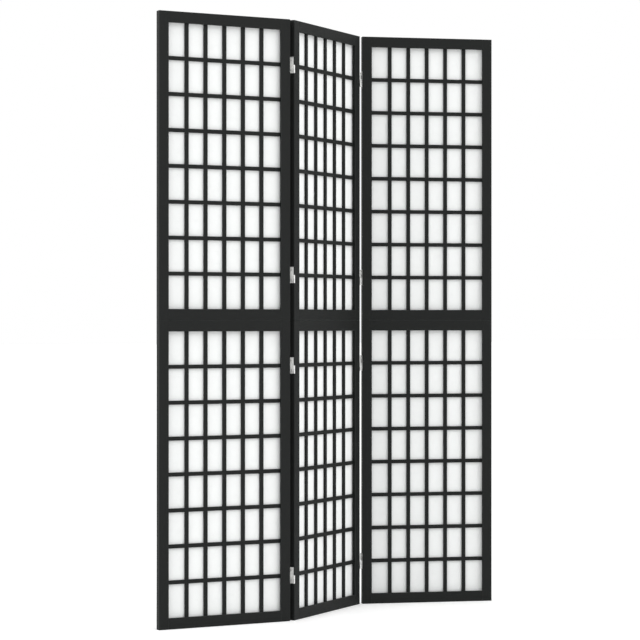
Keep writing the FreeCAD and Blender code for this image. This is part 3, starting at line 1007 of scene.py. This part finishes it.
def link_mesh(context):
    """The link between the two leaves, with an access hole over each screw."""
    settings = context.scene.hinge_finish
    quarter, top = settings.height / 4, settings.height
    front, back = settings.set_back, PIN_SPACING - settings.set_back
    low, middle, high = quarter + settings.gap, 2 * quarter, 3 * quarter - settings.gap
    corners = [(0, low), (front, low), (front, 0), (back, 0), (back, middle)]
    corners += [(PIN_SPACING, middle), (PIN_SPACING, high), (back, high), (back, top)]
    corners += [(front, top), (front, middle), (0, middle)]
    # the plate stops in the knuckles' walls, so that it doesn't cross the pins
    reach = settings.bore + BORE_WALL
    corners = [(min(max(depth, reach), PIN_SPACING - reach), up) for depth, up in corners]
    plate = hinge_plate(context, corners, settings.corner / 2, ACCESS_PLAY)
    lower = knuckle(settings, 0.0, low, middle)
    upper = knuckle(settings, PIN_SPACING, middle, high)
    return joined([plate, lower, upper], "link")


def pin_mesh(settings):
    """Both pins, each through two knuckles, with slightly domed ends."""
    half = settings.height / 2
    radius = settings.pin
    dome = radius * DOME_HEIGHT
    pins = []
    for depth, foot in ((0.0, 0.0), (PIN_SPACING, half)):
        top = foot + half
        profile = [(radius * out, foot + dome * up) for out, up in DOME]
        profile += [(radius * out, top - dome * up) for out, up in DOME[::-1]]
        pins.append(lathe(profile, (0, depth), sides=20, smooth=True))
    return joined(pins, "pins")


def hinge_frames():
    """For each fold: its side of the middle panel, and the frames that its leaves are drawn in."""
    beyond = PANEL_WIDTH + PIN_TO_WOOD
    for fold, side in (("left", 1), ("right", -1)):
        at_middle, at_outer = (-PIN_TO_WOOD, beyond) if side == 1 else (beyond, -PIN_TO_WOOD)
        frames = [
            stand_at(*PANELS[panel]) @ Matrix.Translation((across, -PIN_PROUD, 0))
            for panel, across in (("middle", at_middle), (fold, at_outer))
        ]
        yield fold, side, frames


class SCREEN_OT_hinges(bpy.types.Operator):
    """Fit the leaves, links and pins of the double-action hinges"""

    bl_idname = "screen.hinges"
    bl_label = "Hinges"

    def execute(self, context):
        settings = context.scene.hinge_finish
        metal, roughness = settings.metal, settings.roughness
        plate = plated_material("plated_plate", metal, roughness, rubbed=0.5)
        turned = plated_material("plated_pin", metal, roughness * TURNED, rubbed=0.3)
        for fold, side, (middle_frame, outer_frame) in hinge_frames():
            links_frame = stand_at(*LINKS[fold])
            inner, outer = leaf_mesh(context, side, True), leaf_mesh(context, -side, False)
            for member, mesh, matrix, body, material in (
                ("middle_leaves", inner, middle_frame, "middle_panel", plate),
                ("outer_leaves", outer, outer_frame, f"{fold}_panel", plate),
                ("links", link_mesh(context), links_frame, f"{fold}_links", plate),
                ("pins", pin_mesh(settings), links_frame, f"{fold}_links", turned),
            ):
                node = f"{fold}_hinge_{member}"
                hung = hung_up_the_fold(mesh, material)
                piece = finished_piece(f"{node}_finished", hung, matrix, material)
                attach(piece, body)
                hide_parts(node)
        return {"FINISHED"}


def screw_shapes(sizes, side):
    """The head and the shank of a countersunk screw with a crossed recess, driven into the edge of
    a panel. side is 1 where the panel lies towards +X."""
    radius, recess = sizes.head, sizes.recess
    arm, width, rim = radius * CROSS_ARM, radius * CROSS_WIDTH, radius * CONE_WIDTH
    cross = []
    for turn in range(4):
        across = Vector((math.cos(turn * math.pi / 2), math.sin(turn * math.pi / 2)))
        beside = Vector((-across.y, across.x))
        tip, root = across * arm, across * width
        cross += [tip - beside * width, tip + beside * width, root + beside * width]
    head = flat_plate([ring_points((0, 0), radius), cross], recess, recess * HEAD_EASE)
    bmesh.ops.translate(head, verts=head.verts, vec=(-recess / 2, 0, 0))
    # from inside the head down its rim and cone, then along the shank to its point
    profile = [(0, -recess * CONE_TOP), (rim, -recess * CONE_TOP), (rim, -recess * CONE_RIM)]
    profile += [(sizes.shank, -recess * CONE_FOOT), (sizes.shank, -sizes.length * POINT_FROM)]
    profile.append((0, -sizes.length))
    shank = lathe(profile, (0, 0), sides=12)
    bmesh.ops.rotate(shank, verts=shank.verts, matrix=Matrix.Rotation(math.radians(90), 3, "Y"))
    facing = Matrix.Rotation(0 if side < 0 else math.pi, 4, "Z")
    for shape in (head, shank):
        shape.transform(facing)
    return head, shank


class SCREEN_OT_screws(bpy.types.Operator):
    """Drive two screws through each leaf"""

    bl_idname = "screen.screws"
    bl_label = "Screws"

    def execute(self, context):
        settings = context.scene.hinge_finish
        sizes = context.scene.screw_sizes
        darker = tuple(channel * SCREW_SHADE for channel in settings.metal)
        material = plated_material("plated_screw", darker, settings.roughness * TURNED, rubbed=0.6)
        draw = random.Random(SLANT_SEED)
        for fold, side, frames in hinge_frames():
            ends = (("middle", "middle", side), (fold, "outer", -side))
            for matrix, (panel, member, toward) in zip(frames, ends):
                face = toward * (PIN_TO_WOOD - settings.thickness)
                screws = []
                for height in screw_heights(context):
                    slant = Matrix.Rotation(draw.uniform(0, math.pi / 2), 4, "X")
                    for shape in screw_shapes(sizes, toward):
                        shape.transform(slant)
                        shape.transform(Matrix.Translation((face, PIN_SPACING / 2, height)))
                        screws.append(shape)
                hung = hung_up_the_fold(joined(screws, "screws"), material)
                name = f"{fold}_hinge_{member}_screws"
                piece = finished_piece(name, hung, matrix, material)
                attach(piece, f"{panel}_panel")
        return {"FINISHED"}


# studio


def soft_sun(name, heading, height, strength):
    """A soft lamp far off. heading is the side that it shines from, counted from the right-hand
    end of the screen towards its back, and height is how far it stands above the horizon."""
    lamp = bpy.data.lights.new(name, "SUN")
    lamp.energy = strength
    lamp.angle = math.radians(LAMP_SPREAD)
    turn, lift = math.radians(heading), math.radians(height)
    level = math.cos(lift)
    source = Vector((level * math.cos(turn), level * math.sin(turn), math.sin(lift)))
    in_scene(name, lamp).rotation_euler = source.to_track_quat("Z", "Y").to_euler()


class SCREEN_OT_studio(bpy.types.Operator):
    """Set up the floor, the light and the camera"""

    bl_idname = "screen.studio"
    bl_label = "Studio"

    def execute(self, context):
        settings = context.scene.studio
        scene = context.scene
        scene.view_settings.view_transform = "Standard"

        world = bpy.data.worlds.new("studio")
        world.use_nodes = True
        sky = Layout(world.node_tree)
        values = {"Fac": sky.seen()}
        for socket, strength in (("Shader", settings.daylight), ("Shader_001", 1.0)):
            light = {"Color": (1, 1, 1, 1), "Strength": strength}
            values[socket] = sky.node("ShaderNodeBackground", {}, light).outputs["Background"]
        mix = sky.node("ShaderNodeMixShader", {}, values)
        sky.node("ShaderNodeOutputWorld", {}, {"Surface": mix.outputs["Shader"]})
        scene.world = world

        ground = Finish("pale_floor")
        glow = settings.floor_glow
        values = {
            "Base Color": opaque(settings.floor),
            "Roughness": 0.9,
            "Specular IOR Level": 0.1,
            "Emission Color": ground.blend(ground.seen(), (0, 0, 0, 1), (glow, glow, glow, 1)),
            "Emission Strength": 1.0,
        }
        shape = bmesh.new()
        bmesh.ops.create_grid(shape, x_segments=1, y_segments=1, size=FLOOR_REACH)
        floor = finished_piece("floor", to_mesh(shape, "floor"), Matrix(), ground.surface(values))

        for name, (heading, height) in LAMPS.items():
            soft_sun(name, heading, height, getattr(settings, name))

        camera = bpy.data.cameras.new("camera")
        camera.sensor_width = SENSOR
        camera.lens = settings.lens
        camera.clip_end = SIGHT
        scene.camera = in_scene("camera", camera)
        scene.camera.location = settings.camera
        scene.camera.rotation_euler = (math.radians(90), 0, settings.heading)
        return {"FINISHED"}


# add-on

PIECES = (SCREEN_OT_studio, SCREEN_OT_frames, SCREEN_OT_lattices, SCREEN_OT_tongues)
PIECES += (SCREEN_OT_paper, SCREEN_OT_hinges, SCREEN_OT_screws)
SETTINGS = {
    "wood_finish": WoodFinish,
    "paper_finish": PaperFinish,
    "hinge_finish": HingeFinish,
    "screw_sizes": ScrewSizes,
    "studio": Studio,
}


class SCREEN_PT_sidebar(bpy.types.Panel):
    """The screen's pieces and sizes"""

    bl_label = "Folding screen"
    bl_space_type = "VIEW_3D"
    bl_region_type = "UI"
    bl_category = "Screen"

    def draw(self, context):
        for piece in PIECES:
            self.layout.operator(piece.bl_idname)
        for name, group in SETTINGS.items():
            box = self.layout.box()
            settings = getattr(context.scene, name)
            for item in group.__annotations__:
                box.prop(settings, item)


def register():
    for group in SETTINGS.values():
        bpy.utils.register_class(group)
    for name, group in SETTINGS.items():
        setattr(bpy.types.Scene, name, PointerProperty(type=group))
    for kind in (*PIECES, SCREEN_PT_sidebar):
        bpy.utils.register_class(kind)


def unregister():
    for kind in (SCREEN_PT_sidebar, *PIECES[::-1]):
        bpy.utils.unregister_class(kind)
    for name in SETTINGS:
        delattr(bpy.types.Scene, name)
    for group in list(SETTINGS.values())[::-1]:
        bpy.utils.unregister_class(group)


def main():
    register()
    for piece in PIECES:
        category, name = piece.bl_idname.split(".")
        getattr(getattr(bpy.ops, category), name)()


if __name__ == "__main__":
    main()
